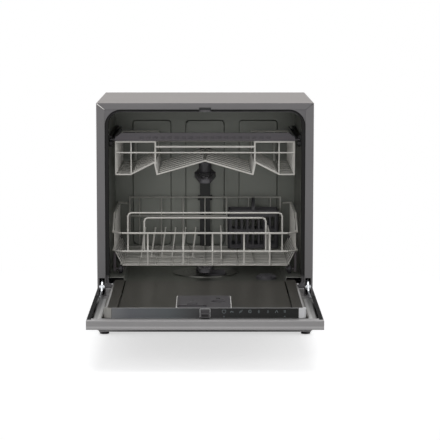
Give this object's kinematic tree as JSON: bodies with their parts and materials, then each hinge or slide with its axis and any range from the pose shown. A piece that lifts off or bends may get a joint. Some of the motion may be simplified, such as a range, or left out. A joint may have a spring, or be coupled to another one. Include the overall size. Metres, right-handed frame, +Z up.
{
  "type": "countertop dishwasher",
  "caption": "Compact free-standing dishwasher with a drop-down door, two pull-out wire baskets and rotating spray arms.",
  "frame": {"origin": "centre of the open appliance's footprint, on the surface that its feet stand on", "axes": "+Z up, the door opens towards -Y, +X is the right-hand side seen from the front"},
  "size_m": [0.55, 0.94, 0.595],
  "materials": {
    "grey_panel": "fine satin silver-grey paint",
    "door_panel": "satin silver-grey paint",
    "tub_steel": "satin stainless",
    "liner_steel": "satin stainless",
    "bright_steel": "zinc plated",
    "coated_wire": "polyamide coating on wire",
    "dark_plastic": "fine moulded grain",
    "grey_plastic": "fine moulded grain",
    "black_plastic": "moulded",
    "black_rubber": "extruded seal",
    "strip_plastic": "gloss control strip",
    "pale_plastic": "natural moulding",
    "pump_black": "dipped motor body"
  },
  "bodies": {
    "cabinet": {"top_panel": "grey_panel", "left_side_panel": "grey_panel", "right_side_panel": "grey_panel", "front_frame": "grey_panel", "back_panel": "bright_steel", "base_tray": "black_plastic", "plinth": "grey_panel", "levelling_feet": "black_plastic", "tub_wrap": "tub_steel", "tub_back_wall": "tub_steel", "tub_floor": "tub_steel", "tub_seal": "black_rubber", "latch_keeper": "black_plastic", "sump": "pale_plastic", "filter_plate": "tub_steel", "lower_arm_hub": "grey_plastic", "feed_pipe": "black_plastic", "upper_rails": "black_plastic", "hinge_brackets": "bright_steel", "door_springs": "bright_steel", "wash_pump": "pump_black", "drain_pump": "pump_black", "softener_tank": "pale_plastic", "inlet_valve": "pale_plastic", "air_break": "pale_plastic", "inner_hoses": "black_rubber", "water_inlet": "pale_plastic", "drain_outlet": "black_plastic", "power_inlet": "black_plastic", "control_board": "black_plastic"},
    "door": {"door_outer_panel": "door_panel", "door_liner": "liner_steel", "hinge_arms": "bright_steel", "control_strip": "strip_plastic", "latch_striker": "black_plastic", "dispenser_body": "grey_plastic"},
    "dispenser_lid": {"dispenser_lid": "grey_plastic"},
    "rinse_aid_cap": {"rinse_aid_cap": "grey_plastic"},
    "lower_basket": {"lower_basket_ends": "coated_wire", "lower_basket_sides": "coated_wire", "lower_basket_floor": "coated_wire", "plate_tines": "coated_wire", "wheel_brackets": "grey_plastic", "cutlery_basket": "grey_plastic"},
    "upper_basket": {"upper_basket_ends": "coated_wire", "upper_basket_sides": "coated_wire", "upper_basket_floor": "coated_wire", "upper_basket_trim": "dark_plastic", "upper_basket_runners": "grey_plastic", "upper_manifold": "grey_plastic"},
    "lower_spray_arm": {"lower_spray_arm": "grey_plastic"},
    "upper_spray_arm": {"upper_spray_arm": "grey_plastic"},
    "filter_cup": {"filter_cup": "grey_plastic"},
    "softener_cap": {"softener_cap": "grey_plastic"},
    "upper_roller_left": {"upper_roller_left": "black_plastic"},
    "upper_roller_right": {"upper_roller_right": "black_plastic"},
    "wheel_front_left": {"wheel_front_left": "dark_plastic"},
    "wheel_front_right": {"wheel_front_right": "dark_plastic"},
    "wheel_rear_left": {"wheel_rear_left": "dark_plastic"},
    "wheel_rear_right": {"wheel_rear_right": "dark_plastic"}
  },
  "joints": [
    {"name": "door_hinge", "type": "hinge", "parent": "cabinet", "child": "door", "pos_m": [0, 0, 0.124], "axis": [-1, 0, 0], "range_deg": [0, 90], "deforming": ["door_springs"]},
    {"name": "lower_basket_slide", "type": "slide", "parent": "cabinet", "child": "lower_basket", "axis": [0, 1, 0], "range_m": [-0.35, 0]},
    {"name": "upper_basket_slide", "type": "slide", "parent": "cabinet", "child": "upper_basket", "axis": [0, 1, 0], "range_m": [-0.3, 0]},
    {"name": "lower_spray_spin", "type": "hinge", "parent": "cabinet", "child": "lower_spray_arm", "pos_m": [0, 0.228, 0.152], "axis": [0, 0, 1], "continuous": true},
    {"name": "upper_spray_spin", "type": "hinge", "parent": "upper_basket", "child": "upper_spray_arm", "pos_m": [0, 0.228, 0.385], "axis": [0, 0, 1], "continuous": true},
    {"name": "dispenser_lid_slide", "type": "slide", "parent": "door", "child": "dispenser_lid", "axis": [0, -1, 0], "range_m": [-0.066, 0]},
    {"name": "rinse_cap_turn", "type": "hinge", "parent": "door", "child": "rinse_aid_cap", "pos_m": [0.031, -0.335, 0.1451], "axis": [0, 0, 1], "range_deg": [0, 90]},
    {"name": "filter_cup_turn", "type": "hinge", "parent": "cabinet", "child": "filter_cup", "pos_m": [0.028, 0.171, 0.13], "axis": [0, 0, 1], "range_deg": [0, 90]},
    {"name": "softener_cap_turn", "type": "hinge", "parent": "cabinet", "child": "softener_cap", "pos_m": [0.16, 0.11, 0.13], "axis": [0, 0, 1], "range_deg": [0, 720]},
    {"name": "wheel_front_left_spin", "type": "hinge", "parent": "lower_basket", "child": "wheel_front_left", "pos_m": [-0.219, 0.087, 0.1593], "axis": [1, 0, 0], "continuous": true},
    {"name": "wheel_front_right_spin", "type": "hinge", "parent": "lower_basket", "child": "wheel_front_right", "pos_m": [0.219, 0.087, 0.1593], "axis": [1, 0, 0], "continuous": true},
    {"name": "wheel_rear_left_spin", "type": "hinge", "parent": "lower_basket", "child": "wheel_rear_left", "pos_m": [-0.219, 0.346, 0.1593], "axis": [1, 0, 0], "continuous": true},
    {"name": "wheel_rear_right_spin", "type": "hinge", "parent": "lower_basket", "child": "wheel_rear_right", "pos_m": [0.219, 0.346, 0.1593], "axis": [1, 0, 0], "continuous": true},
    {"name": "upper_roller_left_spin", "type": "hinge", "parent": "cabinet", "child": "upper_roller_left", "pos_m": [-0.242, 0.05, 0.4887], "axis": [1, 0, 0], "continuous": true},
    {"name": "upper_roller_right_spin", "type": "hinge", "parent": "cabinet", "child": "upper_roller_right", "pos_m": [0.242, 0.05, 0.4887], "axis": [1, 0, 0], "continuous": true}
  ],
  "couplings": [
    {"joint": "wheel_front_left_spin", "follows": "lower_basket_slide", "rad_per_m": -90.909},
    {"joint": "wheel_front_right_spin", "follows": "lower_basket_slide", "rad_per_m": -90.909},
    {"joint": "wheel_rear_left_spin", "follows": "lower_basket_slide", "rad_per_m": -90.909},
    {"joint": "wheel_rear_right_spin", "follows": "lower_basket_slide", "rad_per_m": -90.909},
    {"joint": "upper_roller_left_spin", "follows": "upper_basket_slide", "rad_per_m": -125},
    {"joint": "upper_roller_right_spin", "follows": "upper_basket_slide", "rad_per_m": -125}
  ]
}
